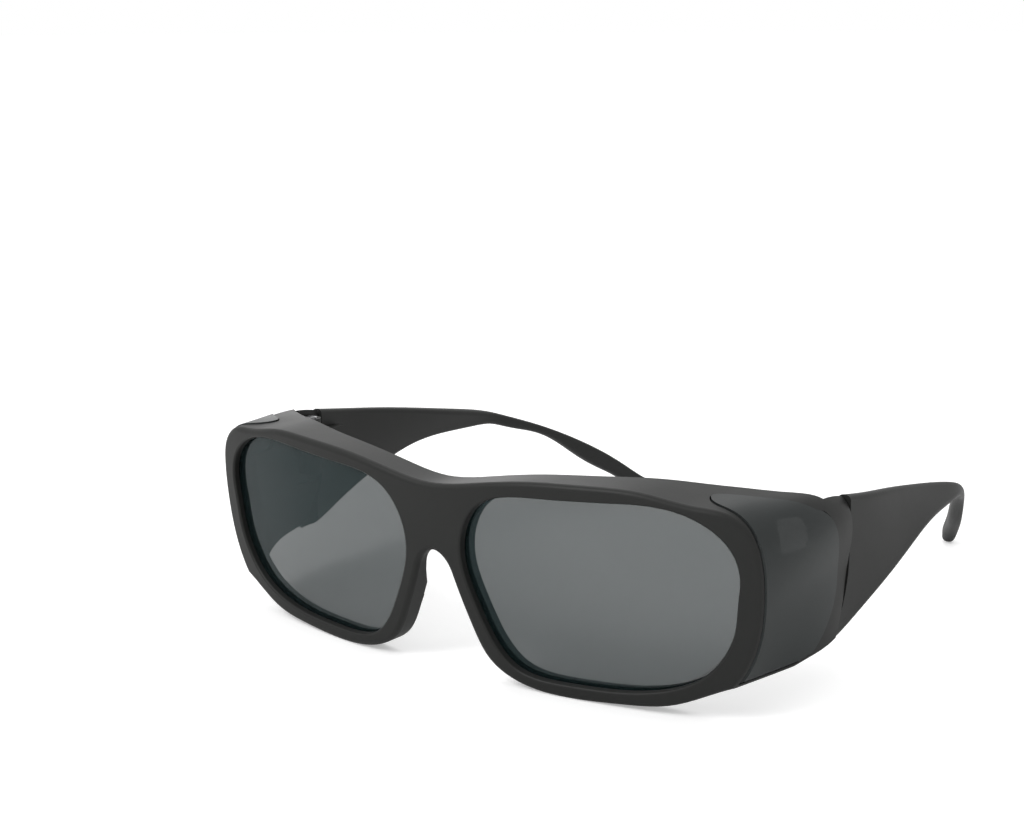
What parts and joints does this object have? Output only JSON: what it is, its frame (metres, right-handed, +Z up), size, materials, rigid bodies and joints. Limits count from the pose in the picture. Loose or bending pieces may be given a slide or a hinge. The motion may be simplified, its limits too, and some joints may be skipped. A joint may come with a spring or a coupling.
{
  "type": "fitover sunglasses",
  "caption": "Wrap-around sunglasses with smoked front and side lenses and folding arms, worn over other glasses.",
  "frame": {"origin": "middle of the footprint on the surface that the rims and the arm tips rest on", "axes": "+Z up, -Y the way the face looks, +X to the wearer's left, so +Y runs back along the arms"},
  "size_m": [0.1478, 0.1577, 0.0457],
  "materials": {
    "black_moulding": "satin black, moulded",
    "black_arm": "satin black, moulded",
    "smoked_lens": "grey-green smoked clear plastic",
    "dark_side_lens": "dark smoked clear plastic",
    "screw_steel": "plain steel"
  },
  "bodies": {
    "front": {"front_frame": "black_moulding", "lens_left": "smoked_lens", "lens_right": "smoked_lens", "side_lens_left": "dark_side_lens", "side_lens_right": "dark_side_lens", "hinge_screw_left": "screw_steel", "hinge_screw_right": "screw_steel", "hinge_nut_left": "screw_steel", "hinge_nut_right": "screw_steel"},
    "arm_left": {"temple_left": "black_arm"},
    "arm_right": {"temple_right": "black_arm"}
  },
  "joints": [
    {"name": "fold_left", "type": "hinge", "parent": "front", "child": "arm_left", "pos_m": [0.0688, -0.039, 0], "axis": [0, 0, 1], "range_deg": [0, 88]},
    {"name": "fold_right", "type": "hinge", "parent": "front", "child": "arm_right", "pos_m": [-0.0688, -0.039, 0], "axis": [0, 0, -1], "range_deg": [0, 80]}
  ]
}
